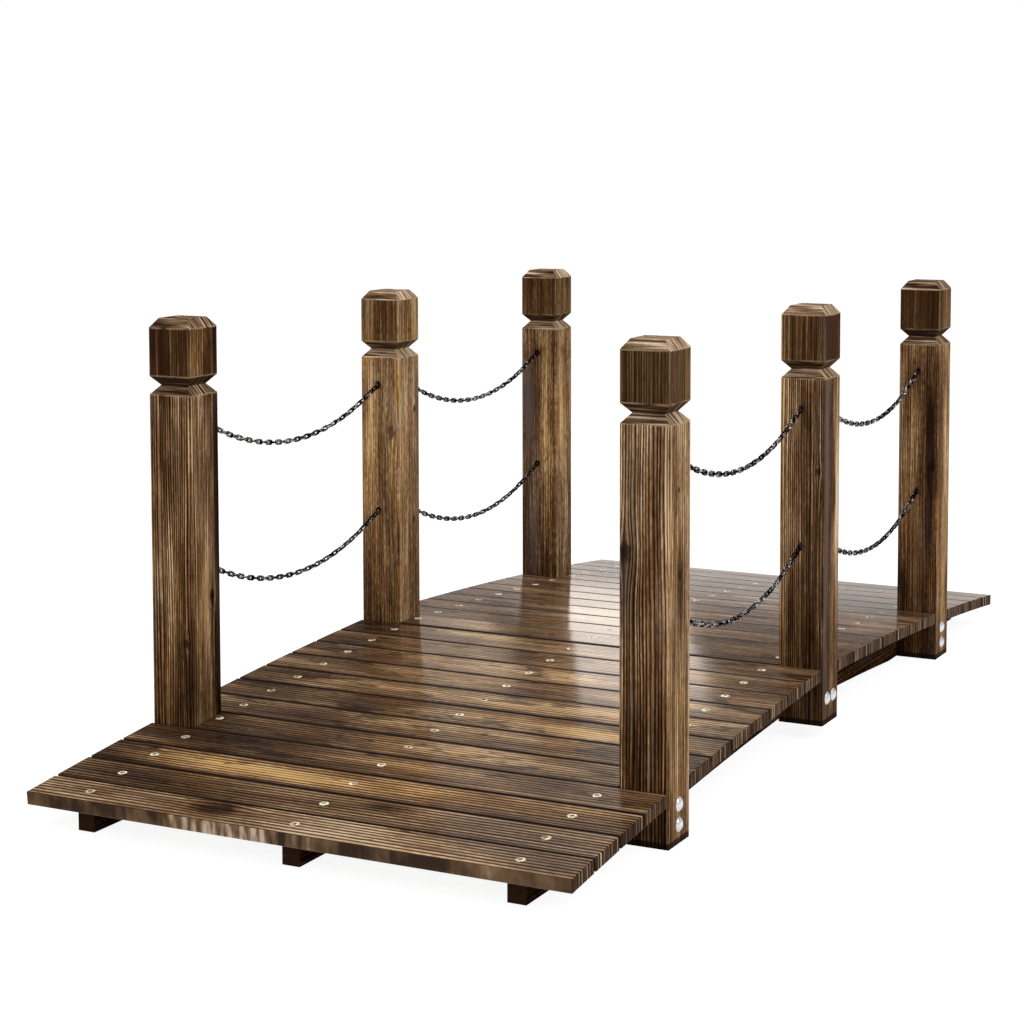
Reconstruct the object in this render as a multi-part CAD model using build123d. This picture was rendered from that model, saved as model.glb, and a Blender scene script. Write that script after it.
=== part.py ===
from build123d import *
import math
import os

# Garden footbridge: narrow boards laid across three arched beams, each in two halves,
# six square posts with shaped heads, and two chains a bay hung between screw eyes.
# Millimetres. X runs along the walk, Y across it (+Y is the left side), Z up.
# The origin is the centre of the footprint, on the ground.

# --- Deck boards -----------------------------------------------------------------
board_count = 25
board_width = 57.0
end_board_width = 51.0          # the first and last boards are ripped narrower
board_gap = 4.0
board_thickness = 15.0
board_edge_round = 1.2
deck_width = 655.0
deck_crown_height = 91.0        # top of the middle board above the ground
deck_end_height = 39.5          # top of the deck at its two ends
half_bow = 7.0                  # how far each half's arc stands above its chord

# --- Beams -----------------------------------------------------------------------
beam_thickness = 21.0
beam_depth = 54.0
beam_end_setback = 16.5         # from the deck's end to the beam's end

# --- Posts -----------------------------------------------------------------------
post_size = 57.0
post_top_height = 538.0
post_edge_round = 1.2
post_board_clearance = 1.0      # between a board and the post it is cut round
middle_post_foot_height = 18.0  # the middle posts stop short of the ground
boards_between_posts = 8        # board pitches from one post to the next
head_height = 56.0              # square block between the groove and the top chamfer
head_chamfer_rise = 11.4
head_chamfer_run = 8.6
groove_depth = 10.0
groove_half_height = 11.0

# --- Carriage bolts ----------------------------------------------------------------
bolt_diameter = 6.0
bolt_hole_clearance = 0.5       # on the diameter
bolt_head_diameter = 16.0
bolt_head_height = 3.8
bolt_tail = 2.5                 # thread standing out past the nut
washer_diameter = 12.0
washer_thickness = 1.6
nut_across_flats = 10.0
nut_height = 5.0
end_bolt_low_height = 20.5      # two bolts one above the other in an end post
end_bolt_rise = 22.0
middle_bolt_height = 50.0       # two bolts side by side, one in each half of a beam
middle_bolt_spacing = 22.8

# --- Deck screws ---------------------------------------------------------------------
screw_shank_diameter = 4.0
screw_length = 34.0
screw_head_diameter = 10.5
screw_head_depth = 3.4
screw_head_crown = 0.5          # the raised top of the head
screw_hole_clearance = 0.4      # round the shank in the board, on the diameter
recess_span = 5.6
recess_width = 1.3
recess_depth = 1.8
end_post_screw_shift = 9.0      # moves a screw along the board's width, clear of a bolt
middle_board_screw_shift = 4.0  # clear of the joint between the beams' halves

# --- Screw eyes ----------------------------------------------------------------------
eye_wire_diameter = 3.0
eye_ring_radius = 4.2           # to the middle of the wire
eye_stand_off = 6.5             # ring centre from the post's face
eye_screw_depth = 20.0
upper_eye_height = 412.0
lower_eye_height = 241.5

# --- Chains --------------------------------------------------------------------------
# The path of one chain in its bay: along the bay from its middle, and down from the eyes.
chain_width = 7.0
chain_route = [
    (-203.65, -2.25), (-157.0, -21.6), (-104.0, -36.7), (-52.0, -45.7), (0.0, -48.7),
    (52.0, -45.7), (104.0, -36.7), (157.0, -21.6), (203.65, -2.25),
]

# --- Worked out from the values above --------------------------------------------------
board_pitch = board_width + board_gap
deck_length = (board_count - 2) * board_pitch + board_gap + 2 * end_board_width
half_deck = deck_length / 2
post_spacing = boards_between_posts * board_pitch
post_side = deck_width / 2 - post_size / 2
post_inner_side = deck_width / 2 - post_size
outer_beam_side = post_inner_side - beam_thickness / 2
beam_sides = [outer_beam_side, 0.0, -outer_beam_side]
head_top = post_top_height - head_chamfer_rise
groove_top = head_top - head_height
groove_middle = groove_top - groove_half_height
groove_bottom = groove_middle - groove_half_height
crown_bearing = deck_crown_height - board_thickness
end_bearing = deck_end_height - board_thickness

# The circle that one half of the beams' top edge follows, from the middle to the end.
chord_angle = math.atan2(crown_bearing - end_bearing, half_deck)
chord_length = math.hypot(half_deck, crown_bearing - end_bearing)
arch_radius = (chord_length**2 / 4 + half_bow**2) / (2 * half_bow)
arch_centre_x = half_deck / 2 - (arch_radius - half_bow) * math.sin(chord_angle)
arch_centre_z = (crown_bearing + end_bearing) / 2 - (arch_radius - half_bow) * math.cos(chord_angle)

SIDES = {"left": 1, "right": -1}
ENDS = {"front": -1, "middle": 0, "back": 1}


def board_width_at(index):
    """Width of a board: index 0 is the front board."""
    return end_board_width if index in (0, board_count - 1) else board_width


def board_middle(index):
    """Distance of a board's middle from the middle of the bridge."""
    middle = (index - (board_count - 1) / 2) * board_pitch
    return middle - math.copysign((board_width - board_width_at(index)) / 2, middle)


def board_place(index):
    """Where the middle of a board's underside touches the beams, and how the board tilts."""
    middle = board_middle(index)
    if middle == 0:
        return Location((0, 0, crown_bearing))
    tilt = math.asin((abs(middle) - arch_centre_x) / (arch_radius + board_thickness / 2))
    x = arch_centre_x + arch_radius * math.sin(tilt)
    z = arch_centre_z + arch_radius * math.cos(tilt)
    return Location((math.copysign(x, middle), 0, z), (0, math.copysign(math.degrees(tilt), middle), 0))


def cylinder_along(axis, radius, start, end, across):
    """A cylinder along X or Y, from start to end on that axis, through the point across."""
    middle = (start + end) / 2
    length = abs(end - start)
    if axis == "X":
        return Pos(middle, *across) * Rot(0, 90, 0) * Cylinder(radius, length)
    return Pos(across[0], middle, across[1]) * Rot(90, 0, 0) * Cylinder(radius, length)


# --- Screws: places and shape ----------------------------------------------------------
def board_screw_points(index):
    """The three screw places on a board, as (along its width, across the deck)."""
    from_middle = abs(index - (board_count - 1) // 2)
    if from_middle == 0:
        return [(middle_board_screw_shift, across) for across in beam_sides]
    shift = end_post_screw_shift if from_middle == boards_between_posts else 0.0
    return [(shift, outer_beam_side), (0.0, 0.0), (shift, -outer_beam_side)]


def screw_places():
    """Where every deck screw enters its board's top face."""
    return [
        board_place(index) * Pos(along, across, board_thickness)
        for index in range(board_count)
        for along, across in board_screw_points(index)
    ]


def deck_screw():
    """A countersunk screw with a cross recess, its head's rim at the board's top face."""
    head_radius = screw_head_diameter / 2
    shank_radius = screw_shank_diameter / 2
    crown_radius = (head_radius**2 + screw_head_crown**2) / (2 * screw_head_crown)
    crown = Pos(0, 0, screw_head_crown - crown_radius) * Sphere(crown_radius)
    cap = crown & Pos(0, 0, screw_head_crown / 2) * Cylinder(head_radius * 1.1, screw_head_crown)
    cone = Pos(0, 0, -screw_head_depth / 2) * Cone(shank_radius, head_radius, screw_head_depth)
    shank = Pos(0, 0, -screw_length / 2) * Cylinder(shank_radius, screw_length)
    slot_height = recess_depth + screw_head_crown
    slot = Pos(0, 0, screw_head_crown - slot_height / 2) * Box(recess_span, recess_width, slot_height)
    return cap + cone + shank - slot - Rot(0, 0, 90) * slot


def screw_hole():
    """The countersunk hole in a board for one screw."""
    hole_radius = (screw_shank_diameter + screw_hole_clearance) / 2
    hole = Pos(0, 0, -board_thickness / 2) * Cylinder(hole_radius, board_thickness)
    sink = Pos(0, 0, -screw_head_depth / 2) * Cone(
        screw_shank_diameter / 2, screw_head_diameter / 2, screw_head_depth
    )
    return hole + sink


# --- Boards ----------------------------------------------------------------------------
def deck_board(index):
    """One board on the arch, rounded at its edges and cut round any post beside it."""
    blank = Pos(0, 0, board_thickness / 2) * Box(board_width_at(index), deck_width, board_thickness)
    board = fillet(blank.edges(), board_edge_round)
    for along, across in board_screw_points(index):
        board -= Pos(along, across, board_thickness) * screw_hole()
    board = board_place(index) * board
    notch = post_size + 2 * post_board_clearance
    for end in ENDS.values():
        if abs(board_middle(index) - end * post_spacing) > (board_width + notch) / 2:
            continue
        for side in SIDES.values():
            board -= Pos(end * post_spacing, side * post_side, deck_crown_height) * Box(
                notch, notch, 2 * deck_crown_height
            )
    return board


# --- Beams -----------------------------------------------------------------------------
def half_beam_outline():
    """The side view of one half of a beam, from the middle of the bridge to its back end."""
    bow_x = arch_centre_x + arch_radius * math.sin(chord_angle)
    bow_z = arch_centre_z + arch_radius * math.cos(chord_angle)
    top = ThreePointArc((0, crown_bearing), (bow_x, bow_z), (half_deck, end_bearing))
    foot = ThreePointArc(
        (0, crown_bearing - beam_depth), (bow_x, bow_z - beam_depth), (half_deck, end_bearing - beam_depth)
    )
    band = make_face([top, Line(top @ 1, foot @ 1), foot, Line(foot @ 0, top @ 0)])
    beam_reach = half_deck - beam_end_setback
    above_ground = Pos(beam_reach / 2, crown_bearing / 2) * Rectangle(beam_reach, crown_bearing)
    return band & above_ground


def half_beam(end, across):
    """One half of a beam, drilled for the screws that hold its boards."""
    beam = Pos(0, across, 0) * extrude(Plane.XZ * half_beam_outline(), beam_thickness / 2, both=True)
    if end < 0:
        beam = mirror(beam, about=Plane.YZ)
    reach = screw_length - board_thickness
    for place in screw_places():
        at = place.position
        if abs(at.Y - across) < 1 and at.X * end > -board_pitch / 2:
            beam -= place * Pos(0, 0, -board_thickness - reach / 2) * Cylinder(
                screw_shank_diameter / 2, reach
            )
    return beam


def bolt_centres(end):
    """Height and place along the walk of the two bolts through a post."""
    x = end * post_spacing
    if end == 0:
        return [(-middle_bolt_spacing / 2, middle_bolt_height), (middle_bolt_spacing / 2, middle_bolt_height)]
    return [(x, end_bolt_low_height), (x, end_bolt_low_height + end_bolt_rise)]


def bolt_holes(side):
    """The bolts' clearance holes through the posts and the outer beam of one side."""
    radius = (bolt_diameter + bolt_hole_clearance) / 2
    far = outer_beam_side - beam_thickness
    return [
        cylinder_along("Y", radius, side * far, side * deck_width / 2, centre)
        for end in ENDS.values()
        for centre in bolt_centres(end)
    ]


# --- Posts -----------------------------------------------------------------------------
def post_profile(foot):
    """The front view of a post: shaft, V groove, head block and chamfered top."""
    half = post_size / 2
    right = [
        (half, foot), (half, groove_bottom), (half - groove_depth, groove_middle),
        (half, groove_top), (half, head_top), (half - head_chamfer_run, post_top_height),
    ]
    left = [(-x, z) for x, z in reversed(right)]
    return make_face(Polyline(*right, *left, close=True))


def post(end, side):
    """A square post with its head shaped from both sides, drilled for bolts and eyes."""
    foot = middle_post_foot_height if end == 0 else 0.0
    front_view = extrude(Plane.XZ * post_profile(foot), post_size / 2, both=True)
    side_view = extrude(Plane.YZ * post_profile(foot), post_size / 2, both=True)
    section = RectangleRounded(post_size, post_size, post_edge_round)
    body = front_view & side_view & Pos(0, 0, foot) * extrude(section, post_top_height - foot)
    body = Pos(end * post_spacing, side * post_side, 0) * body
    for hole in bolt_holes(side):
        body -= hole
    for face, height in eye_spots(end):
        start = end * post_spacing + face * (post_size / 2 - eye_screw_depth)
        stop = end * post_spacing + face * post_size / 2
        body -= cylinder_along("X", eye_wire_diameter / 2, start, stop, (side * post_side, height))
    return body


# --- Bolts -----------------------------------------------------------------------------
def carriage_bolt():
    """Bolt, washer and nut along +Y, with the underside of the domed head at y = 0."""
    grip = post_size + beam_thickness
    head_radius = bolt_head_diameter / 2
    dome_radius = (head_radius**2 + bolt_head_height**2) / (2 * bolt_head_height)
    dome = Pos(0, 0, bolt_head_height - dome_radius) * Sphere(dome_radius)
    dome &= Pos(0, 0, bolt_head_height / 2) * Cylinder(head_radius * 1.1, bolt_head_height)
    length = grip + washer_thickness + nut_height + bolt_tail
    shank = Pos(0, 0, -length / 2) * Cylinder(bolt_diameter / 2, length)
    washer = Pos(0, 0, -grip - washer_thickness / 2) * Cylinder(washer_diameter / 2, washer_thickness)
    nut_outline = RegularPolygon(nut_across_flats / 2, 6, major_radius=False)
    nut = Pos(0, 0, -grip - washer_thickness - nut_height) * extrude(nut_outline, nut_height)
    return Rot(90, 0, 0) * (dome + shank + washer + nut)


def carriage_bolts():
    """The bolts of all six posts, heads outwards."""
    pattern = carriage_bolt()
    placed = []
    for side in SIDES.values():
        turn = Rot(0, 0, 180) if side > 0 else Rot(0, 0, 0)
        for end in ENDS.values():
            for x, z in bolt_centres(end):
                placed.append(Pos(x, side * deck_width / 2, z) * turn * pattern)
    return placed


# --- Screw eyes --------------------------------------------------------------------------
def eye_spots(end):
    """The faces and heights where a post carries eyes: face +1 looks to the back."""
    faces = [face for face in (-1, 1) if abs(end + face) <= 1]
    return [(face, height) for face in faces for height in (upper_eye_height, lower_eye_height)]


def screw_eye():
    """A screw eye along +X with the post's face at x = 0 and its ring upright."""
    ring = Pos(eye_stand_off, 0, 0) * Rot(90, 0, 0) * Torus(eye_ring_radius, eye_wire_diameter / 2)
    neck = cylinder_along(
        "X", eye_wire_diameter / 2, -eye_screw_depth, eye_stand_off - eye_ring_radius, (0, 0)
    )
    return ring + neck


def screw_eyes():
    """All the eyes, on the faces that look along the walk."""
    pattern = screw_eye()
    placed = []
    for end in ENDS.values():
        for side in SIDES.values():
            for face, height in eye_spots(end):
                turn = Rot(0, 0, 0) if face > 0 else Rot(0, 0, 180)
                x = end * post_spacing + face * post_size / 2
                placed.append(Pos(x, side * post_side, height) * turn * pattern)
    return placed


# --- Chains ------------------------------------------------------------------------------
def route_radii(points):
    """The largest arc that each inner point of a route has room for."""
    radii = []
    for before, here, after in zip(points, points[1:], points[2:]):
        run_in = Vector(*here) - Vector(*before)
        run_out = Vector(*after) - Vector(*here)
        half_turn = math.radians(run_in.get_angle(run_out)) / 2
        radii.append(0.45 * min(run_in.length, run_out.length) / math.tan(half_turn))
    return radii


def chain(bay, side, height):
    """The envelope of one hanging chain, in the bay before or behind the middle posts."""
    points = [(bay * post_spacing / 2 + x, z + height) for x, z in chain_route]
    radii = route_radii(points)
    path = Plane.XZ * FilletPolyline(*points, radius=radii)
    tube = sweep((path ^ 0) * Circle(chain_width / 2), path=path)
    ideal = math.pi * chain_width**2 / 4 * path.length
    print("chain length", round(path.length, 2), "volume share", round(tube.volume / ideal, 5),
          "radii", [round(radius) for radius in radii])
    return Pos(0, side * post_side, 0) * tube


# --- Write every piece -------------------------------------------------------------------
def write(name, *pieces):
    """Write one node, of one solid or of several alike, as its own STEP file."""
    solids = [solid for piece in pieces for solid in piece.solids()]
    export_step(solids[0] if len(solids) == 1 else Compound(solids), os.path.join("parts", name + ".step"))


def main():
    """Build the bridge and write its pieces."""
    os.makedirs("parts", exist_ok=True)
    for index in range(board_count):
        write(f"deck_board_{index + 1:02d}", deck_board(index))
    for end_name in ("front", "back"):
        write(f"centre_beam_{end_name}", half_beam(ENDS[end_name], 0.0))
    for side_name, side in SIDES.items():
        for end_name, end in ENDS.items():
            write(f"post_{end_name}_{side_name}", post(end, side))
            if end == 0:
                continue
            beam = half_beam(end, side * outer_beam_side)
            for hole in bolt_holes(side):
                beam -= hole
            write(f"outer_beam_{end_name}_{side_name}", beam)
            for level, height in (("upper", upper_eye_height), ("lower", lower_eye_height)):
                write(f"chain_{level}_{end_name}_{side_name}", chain(end, side, height))
    write("carriage_bolts", *carriage_bolts())
    write("screw_eyes", *screw_eyes())
    pattern = deck_screw()
    write("deck_screws", *[place * pattern for place in screw_places()])


main()
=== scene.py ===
import logging
import math
import random
from dataclasses import dataclass, field
from enum import Enum
from typing import Any, ClassVar, Union

import bmesh
import bpy
from mathutils import Matrix, Vector


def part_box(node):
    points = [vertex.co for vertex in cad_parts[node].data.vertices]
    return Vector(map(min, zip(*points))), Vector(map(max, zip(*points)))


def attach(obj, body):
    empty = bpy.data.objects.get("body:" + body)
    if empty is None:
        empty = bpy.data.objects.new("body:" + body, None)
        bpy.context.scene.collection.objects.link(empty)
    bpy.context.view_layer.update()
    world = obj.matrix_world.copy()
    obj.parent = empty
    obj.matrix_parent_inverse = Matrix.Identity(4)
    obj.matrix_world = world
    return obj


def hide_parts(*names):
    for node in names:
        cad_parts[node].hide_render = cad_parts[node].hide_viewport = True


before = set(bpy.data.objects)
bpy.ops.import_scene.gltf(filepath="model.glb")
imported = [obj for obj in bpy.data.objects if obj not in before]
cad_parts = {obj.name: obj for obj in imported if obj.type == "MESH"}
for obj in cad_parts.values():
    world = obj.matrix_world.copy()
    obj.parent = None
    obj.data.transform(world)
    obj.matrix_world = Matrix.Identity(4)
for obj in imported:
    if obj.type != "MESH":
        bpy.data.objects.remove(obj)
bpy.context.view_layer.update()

log = logging.getLogger("footbridge")

MM = 0.001
BODY = "root"
WHITE = (1.0, 1.0, 1.0, 1.0)

Colour = tuple[float, float, float, float]
Stops = list[tuple[float, Colour]]


# --- Shader building blocks ------------------------------------------------------------


def paint(red: int, green: int, blue: int) -> Colour:
    """A shader colour from a swatch.

    Args:
        red: Red from 0 to 255, as a paint swatch is written.
        green: Green from 0 to 255.
        blue: Blue from 0 to 255.

    Returns:
        The linear colour with full alpha.
    """
    def linear(value: int) -> float:
        """One channel, from the display's curve to linear light."""
        share = value / 255
        return share / 12.92 if share <= 0.04045 else ((share + 0.055) / 1.055) ** 2.4

    return linear(red), linear(green), linear(blue), 1.0


class Signal:
    """An output socket whose Python operators add Math nodes."""

    def __init__(self, nodes: "Nodes", socket: bpy.types.NodeSocket | None) -> None:
        """Wraps a socket of one node tree."""
        self.nodes = nodes
        self.socket = socket

    def math(self, operation: str, *others: "Value") -> "Signal":
        """Adds one Math node.

        Args:
            operation: The Math node's operation.
            others: What goes into its second and third sockets.

        Returns:
            The node's result.
        """
        return self.nodes.math(operation, self, *others)

    def __add__(self, other: "Value") -> "Signal":
        """self + other."""
        return self.math("ADD", other)

    __radd__ = __add__

    def __sub__(self, other: "Value") -> "Signal":
        """self - other."""
        return self.math("SUBTRACT", other)

    def __rsub__(self, other: "Value") -> "Signal":
        """other - self."""
        return self.nodes.math("SUBTRACT", other, self)

    def __mul__(self, other: "Value") -> "Signal":
        """self * other."""
        return self.math("MULTIPLY", other)

    __rmul__ = __mul__

    def __truediv__(self, other: "Value") -> "Signal":
        """self / other."""
        return self.math("DIVIDE", other)

    def __abs__(self) -> "Signal":
        """The distance from zero."""
        return self.math("ABSOLUTE")

    def between(self, low: float, high: float) -> "Signal":
        """Rises smoothly from 0 to 1.

        Args:
            low: Where the rise starts; above high, it falls instead.
            high: Where the rise ends.

        Returns:
            The eased share.
        """
        if low > high:
            return 1.0 - self.between(high, low)
        return self.nodes.add(
            "ShaderNodeMapRange",
            {"interpolation_type": "SMOOTHSTEP"},
            {"Value": self, "From Min": low, "From Max": high},
        )


Value = Union[Signal, float, tuple]


class Nodes:
    """A node tree that is written as expressions."""

    def __init__(self, tree: bpy.types.NodeTree) -> None:
        """Empties the tree and starts it again."""
        self.tree = tree
        tree.nodes.clear()

    def add(
        self,
        kind: str,
        settings: dict[str, Any] | None = None,
        inputs: dict[str | int, Value] | None = None,
        output: str | int = 0,
    ) -> Signal:
        """Adds any node.

        Args:
            kind: The node's type.
            settings: Its properties, which are set first; "stops" fills a colour ramp.
            inputs: What each of its sockets gets, a link or a value.
            output: Which of its outputs is wanted.

        Returns:
            That output.
        """
        node = self.tree.nodes.new(kind)
        for name, value in (settings or {}).items():
            if name == "stops":
                self.fill_ramp(node.color_ramp, value)
            else:
                setattr(node, name, value)
        for name, value in (inputs or {}).items():
            socket = node.inputs[name]
            if isinstance(value, Signal):
                self.tree.links.new(value.socket, socket)
            else:
                socket.default_value = value
        return Signal(self, node.outputs[output] if len(node.outputs) else None)

    @staticmethod
    def fill_ramp(ramp: bpy.types.ColorRamp, stops: Stops) -> None:
        """Sets a colour ramp.

        Args:
            ramp: The ramp, as new.
            stops: Place and colour of each stop, in order.
        """
        while len(ramp.elements) < len(stops):
            ramp.elements.new(1.0)
        for element, (place, colour) in zip(ramp.elements, stops):
            element.position = place
            element.color = colour

    def math(self, operation: str, *values: Value) -> Signal:
        """One Math node on up to three values."""
        return self.add("ShaderNodeMath", {"operation": operation}, dict(enumerate(values)))

    def join(self, x: Value, y: Value, z: Value) -> Signal:
        """A vector from three numbers."""
        return self.add("ShaderNodeCombineXYZ", None, {0: x, 1: y, 2: z})

    def split(self, vector: Signal) -> tuple[Signal, Signal, Signal]:
        """The three numbers of a vector.

        Args:
            vector: The vector.

        Returns:
            Its X, Y and Z.
        """
        first = self.add("ShaderNodeSeparateXYZ", None, {0: vector})
        outputs = first.socket.node.outputs
        return first, Signal(self, outputs[1]), Signal(self, outputs[2])

    def noise(self, place: Signal, detail: float = 2.0, roughness: float = 0.5) -> Signal:
        """Smooth noise about 0.5 with features about as large as one unit of place."""
        return self.add(
            "ShaderNodeTexNoise",
            None,
            {"Vector": place, "Scale": 1.0, "Detail": detail, "Roughness": roughness},
        )

    def mix(self, share: Value, first: Value, second: Value, blend: str = "MIX") -> Signal:
        """Blends two colours.

        Args:
            share: How much of the second colour.
            first: A colour.
            second: A colour.
            blend: The Mix node's blend type.

        Returns:
            The blended colour.
        """
        return self.add(
            "ShaderNodeMix",
            {"data_type": "RGBA", "blend_type": blend},
            {0: share, 6: first, 7: second},
            output=2,
        )

    def ramp(self, value: Signal, stops: Stops) -> Signal:
        """A colour ramp on a value."""
        return self.add("ShaderNodeValToRGB", {"stops": stops}, {0: value})

    def place_from(self, centre: Vector) -> tuple[Signal, Signal, Signal]:
        """Where a surface point is on its piece.

        Args:
            centre: The piece's middle in metres.

        Returns:
            The point's three coordinates from that middle, in millimetres.
        """
        place = self.add("ShaderNodeTexCoord", output="Object")
        moved = self.add(
            "ShaderNodeVectorMath", {"operation": "SUBTRACT"}, {0: place, 1: tuple(centre)}
        )
        return self.split(
            self.add("ShaderNodeVectorMath", {"operation": "SCALE"}, {0: moved, "Scale": 1 / MM})
        )

    def facing(self) -> tuple[Signal, Signal, Signal]:
        """How far a surface faces along X, Y and Z, either way."""
        x, y, z = self.split(self.add("ShaderNodeTexCoord", output="Normal"))
        return abs(x), abs(y), abs(z)

    def bump(self, height: Signal) -> Signal:
        """A surface normal from a height in millimetres."""
        return self.add("ShaderNodeBump", None, {"Height": height, "Distance": MM})

    def surface(self, inputs: dict[str | int, Value]) -> None:
        """Ends a material's tree in a Principled surface with these sockets."""
        shader = self.add("ShaderNodeBsdfPrincipled", None, inputs)
        self.add("ShaderNodeOutputMaterial", None, {"Surface": shader})


def new_material(name: str) -> tuple[bpy.types.Material, Nodes]:
    """Starts a material.

    Args:
        name: The material's name.

    Returns:
        The material and its empty tree.
    """
    material = bpy.data.materials.new(name)
    material.use_nodes = True
    return material, Nodes(material.node_tree)


# --- Wood ------------------------------------------------------------------------------


class Grain(Enum):
    """Which way the wood's fibres run."""

    ALONG_WALK = "x"
    ACROSS_DECK = "y"
    UPRIGHT = "z"


@dataclass(frozen=True)
class Figure:
    """The size of one kind of mark in the wood, in millimetres."""

    length: float                   # along the grain
    width: float                    # across it
    detail: float = 1.0             # how many finer marks it breaks into


# The kinds of marks that every piece of wood has.
LONG_BENDS = Figure(320, 60)
SHORT_BENDS = Figure(60, 12)
LINE_DRIFT = Figure(1100, 15)
STREAKS = Figure(500, 5, 2.0)
PATCHES = Figure(240, 42, 2.0)
CLOUDS = Figure(60, 14, 3.0)
GOLD_PATCHES = Figure(180, 30, 2.0)
SOOT_PATCHES = Figure(150, 18, 2.0)
CHAR_CLOUDS = Figure(75, 22, 3.0)
KNOT_EDGE = Figure(7, 4)
CHIPS = Figure(40, 25, 2.0)
HAIR_LENGTH = 110.0
DASH_LENGTH = 9.0
RIDGE_SPREAD = 5.0                  # width over which the brush took evenly


class Place:
    """Where a point is on its piece of wood, and which way the surface faces there.

    Lengths are in millimetres from the middle of the piece.
    """

    SEED_STEP: float = 37.7         # keeps the figures of two pieces far apart
    DEPTH: float = 90.0             # in which a figure changes into the wood
    ROUGHNESS: float = 0.6          # how strong a mark's finer marks are
    TURNED: tuple[float, float] = (0.6, 0.8)    # from a post's front to its sides

    def __init__(
        self, nodes: Nodes, grain: Grain, seed: float, centre: Vector, size: Vector
    ) -> None:
        """Turns a point of the surface into places along and across the grain.

        Args:
            nodes: The tree of the piece's material.
            grain: Which way its fibres run.
            seed: What sets its figures apart from those of other pieces.
            centre: Its middle, in metres.
            size: Its length along each axis, in metres.
        """
        self.nodes = nodes
        self.grain = grain
        self.shift = seed * self.SEED_STEP
        self.half_width = size.x / MM / 2
        self.half_height = size.z / MM / 2
        self.x, self.y, self.z = nodes.place_from(centre)
        self.facing_x, self.facing_y, facing_z = nodes.facing()
        self.side: Value = 0.0      # 1 on a post's right and left faces
        if grain is Grain.ACROSS_DECK:
            self.along, self.across, self.through = self.y, self.x, self.z
            self.end_on = self.facing_y
        elif grain is Grain.ALONG_WALK:
            self.along, self.across, self.through = self.x, self.z, self.y
            self.end_on = self.facing_x
        else:
            self.side = self.facing_y.between(*self.TURNED)
            self.along = self.z
            self.across = self.y + (self.x - self.y) * self.side
            self.through = self.x + (self.y - self.x) * self.side
            self.end_on = facing_z

    def figure(self, marks: Figure, line: Signal | None = None) -> Signal:
        """Noise in the shape of one kind of mark.

        Args:
            marks: Their size.
            line: The place across the grain where the fibres bend, or the plain one.

        Returns:
            The noise, about 0.5.
        """
        across = self.across if line is None else line
        shift = self.shift
        return self.nodes.noise(
            self.nodes.join(
                self.along / marks.length + shift,
                across / marks.width + shift,
                self.through / self.DEPTH + shift,
            ),
            marks.detail,
            self.ROUGHNESS,
        )

    def kept(self, on_side: bool, share: Signal) -> Signal:
        """Keeps a mark to the pair of a post's faces where it belongs.

        Args:
            on_side: Whether that is the right and left faces.
            share: The share of the mark.

        Returns:
            That share, and none on a post's other faces.
        """
        if self.grain is not Grain.UPRIGHT:
            return share
        return share * (self.side if on_side else 1.0 - self.side)


@dataclass(frozen=True)
class Knot:
    """A knot, in millimetres from the middle of its piece."""

    along: float
    across: float
    radius: float = 5.0
    on_side: bool = False           # on a post: on its right and left faces
    heart: Colour | None = None     # of its middle, where it isn't charred

    PULL: ClassVar[float] = 0.8         # how far the fibres give way to it
    FALL_OFF: ClassVar[float] = -0.35   # how fast they run straight again, across it
    DRAWN_OUT: ClassVar[float] = 0.13   # and along it, as a share of that
    OVAL: ClassVar[float] = 0.4         # the square of its width over its length
    RAGGED: ClassVar[float] = 1.2       # how far its edge wanders, in radii
    CHAR_RING: ClassVar[tuple[float, float]] = (1.5, 0.3)   # where it starts and is whole
    HEART_RING: ClassVar[tuple[float, float]] = (1.1, 0.2)

    def gaps(self, at: Place) -> tuple[Signal, Signal]:
        """How far a point is from its middle, along the grain and across it."""
        return at.along - self.along, at.across - self.across

    def bend(self, at: Place) -> Signal:
        """Bends the fibres round it.

        Args:
            at: The point.

        Returns:
            How far the fibres are moved there.
        """
        along, across = self.gaps(at)
        stretched = along * along * self.DRAWN_OUT + across * across
        near = (stretched * (self.FALL_OFF / self.radius**2)).math("EXPONENT")
        return across * at.kept(self.on_side, near) * self.PULL

    def within(self, at: Place, ring: tuple[float, float]) -> Signal:
        """The share of the surface inside a ragged ring round its middle.

        Args:
            at: The point.
            ring: Where that share starts and where it is whole, in radii.

        Returns:
            The share.
        """
        start, end = ring
        along, across = self.gaps(at)
        distance = at.nodes.math("SQRT", along * along * self.OVAL + across * across)
        ragged = distance + (at.figure(KNOT_EDGE) - 0.5) * (self.radius * self.RAGGED)
        return at.kept(self.on_side, ragged.between(self.radius * start, self.radius * end))


@dataclass(frozen=True)
class Blotch:
    """A lighter or darker place, in millimetres from the middle of its piece."""

    along: float
    across: float
    length: float
    width: float
    tone: float                     # above zero bare and golden, below zero charred
    on_side: bool = False           # on a post: on its right and left faces
    smoky: float = 0.0              # share of violet-grey soot
    bare: bool = False              # weathered pale instead of golden

    GOLDEN: ClassVar[float] = 2.5   # share of gold for each step of tone

    def share(self, at: Place, line: Signal) -> Signal:
        """How strong it is at a point.

        Args:
            at: The point.
            line: The place across the grain where the fibres bend.

        Returns:
            Its share, 1 in its middle.
        """
        along = (at.along - self.along) / self.length
        across = (line - self.across) / self.width
        squared = along * along + across * across
        return at.kept(self.on_side, (squared * -1.0).math("EXPONENT"))


@dataclass(frozen=True)
class Brushed:
    """The lines, fibres and patches over one piece."""

    line: Signal                    # the place across the grain as the fibres bend
    wave: Signal                    # from 1 in a brushed-out line to -1 on a crest
    depth: Signal                   # how deeply the brush took
    groove: Signal                  # share of brushed-out line
    hair: Signal                    # the finest fibres
    streak: Signal
    patch: Signal


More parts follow.
